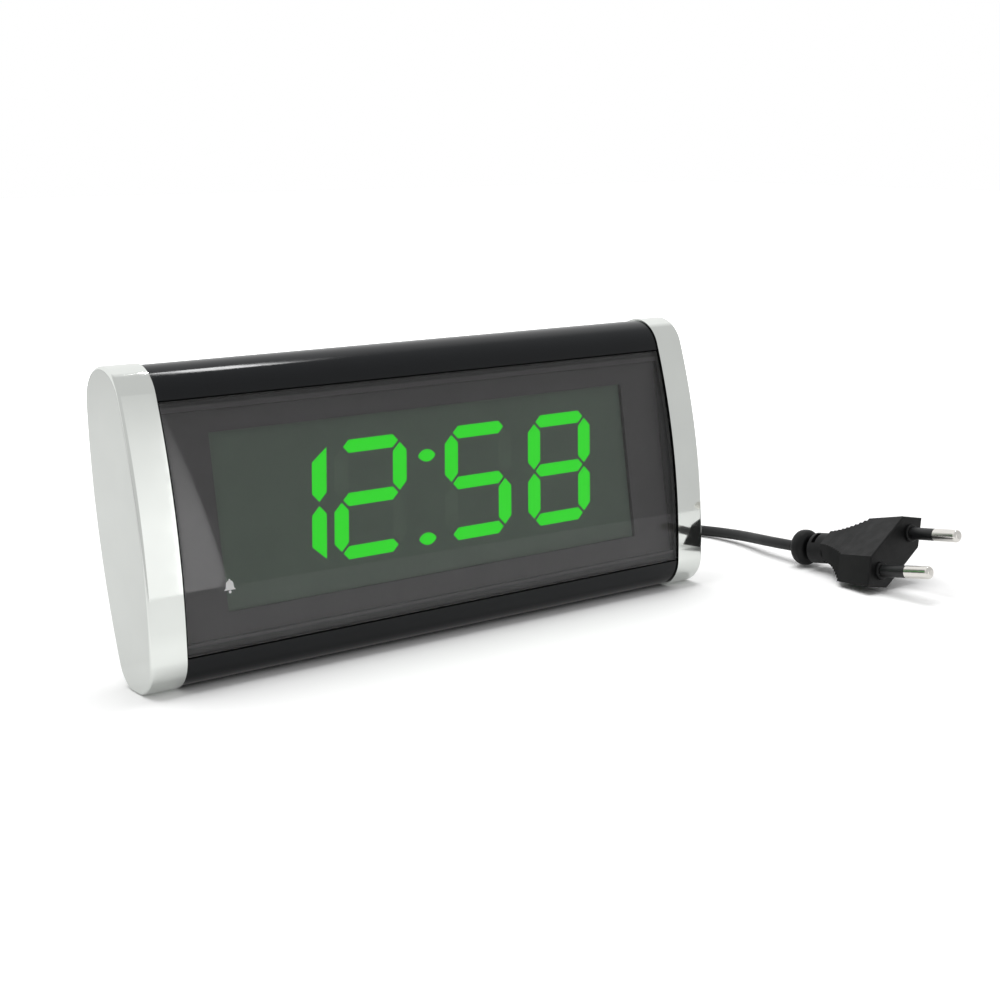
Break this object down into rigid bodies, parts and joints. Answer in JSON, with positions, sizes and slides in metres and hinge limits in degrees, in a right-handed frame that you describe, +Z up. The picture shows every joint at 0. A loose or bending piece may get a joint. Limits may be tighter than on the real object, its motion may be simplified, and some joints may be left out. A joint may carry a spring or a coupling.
{
  "type": "digital desk clock",
  "caption": "Leaning leaf-profile LED desk clock with chromed end caps, curved smoked lens, snooze bar, set buttons, battery door, and a coiled mains cord ending in a flat mains plug.",
  "frame": {"origin": "on the table under the middle of the clock, halfway between its front-most and rear-most points, without the mains lead", "axes": "+X to the right seen from the front, -Y out of the display, +Z up"},
  "size_m": [0.252, 0.2167, 0.0834],
  "materials": {
    "chrome_cap": "polished",
    "gloss_black": "polished",
    "back_black": "fine texture",
    "smoked_lens": "polished",
    "mask_black": "matt",
    "display_grey": "matt",
    "segment_on": "lit",
    "segment_off": "satin",
    "button_grey": "satin",
    "board": "satin",
    "component_black": "satin",
    "capacitor_sleeve": "satin",
    "screw_steel": "plated",
    "core_steel": "varnished laminations",
    "bobbin_white": "satin",
    "winding_tape": "enamelled wire",
    "battery_case": "printed foil, plain",
    "foot_rubber": "matt",
    "cord_black": "satin",
    "plug_grey": "fine texture",
    "pin_nickel": "nickel plated"
  },
  "bodies": {
    "clock": {"left_end_cap": "chrome_cap", "right_end_cap": "chrome_cap", "front_shell": "gloss_black", "rear_cover": "back_black", "lens": "smoked_lens", "display_mask": "mask_black", "display_block": "display_grey", "lit_segments": "segment_on", "unlit_segments": "segment_off", "main_board": "board", "clock_chip": "component_black", "set_switches": "component_black", "snooze_switch": "component_black", "alarm_switch": "component_black", "buzzer": "component_black", "battery_snap": "component_black", "smoothing_capacitor": "capacitor_sleeve", "case_screws": "screw_steel", "board_screws": "screw_steel", "transformer_core": "core_steel", "transformer_bobbin": "bobbin_white", "transformer_winding": "winding_tape", "backup_battery": "battery_case", "rear_feet": "foot_rubber", "cord_gland": "cord_black", "cord_lead": "cord_black", "cord_coil": "cord_black", "cord_tail": "cord_black", "cord_tie": "cord_black", "plug_body": "plug_grey", "plug_sleeves": "plug_grey", "plug_pins": "pin_nickel"},
    "snooze": {"snooze_bar": "gloss_black"},
    "time_set": {"time_button": "button_grey"},
    "alarm_set": {"alarm_button": "button_grey"},
    "hour_set": {"hour_button": "button_grey"},
    "minute_set": {"minute_button": "button_grey"},
    "alarm_slide": {"alarm_slider": "button_grey"},
    "door": {"battery_door": "back_black"}
  },
  "joints": [
    {"name": "snooze_press", "type": "slide", "parent": "clock", "child": "snooze", "axis": [0, -0.6691, -0.7431], "range_m": [0, 0.0008], "stiffness_N_per_m": 600, "springref_m": -0.001},
    {"name": "time_set_press", "type": "slide", "parent": "clock", "child": "time_set", "axis": [0, -0.986, 0.1665], "range_m": [0, 0.0006], "stiffness_N_per_m": 600, "springref_m": -0.001},
    {"name": "alarm_set_press", "type": "slide", "parent": "clock", "child": "alarm_set", "axis": [0, -0.986, 0.1665], "range_m": [0, 0.0006], "stiffness_N_per_m": 600, "springref_m": -0.001},
    {"name": "hour_set_press", "type": "slide", "parent": "clock", "child": "hour_set", "axis": [0, -0.986, 0.1665], "range_m": [0, 0.0006], "stiffness_N_per_m": 600, "springref_m": -0.001},
    {"name": "minute_set_press", "type": "slide", "parent": "clock", "child": "minute_set", "axis": [0, -0.986, 0.1665], "range_m": [0, 0.0006], "stiffness_N_per_m": 600, "springref_m": -0.001},
    {"name": "alarm_slide_move", "type": "slide", "parent": "clock", "child": "alarm_slide", "axis": [1, 0, 0], "range_m": [0, 0.004]},
    {"name": "door_slide", "type": "slide", "parent": "clock", "child": "door", "axis": [1, 0, 0], "range_m": [0, 0.054]}
  ]
}
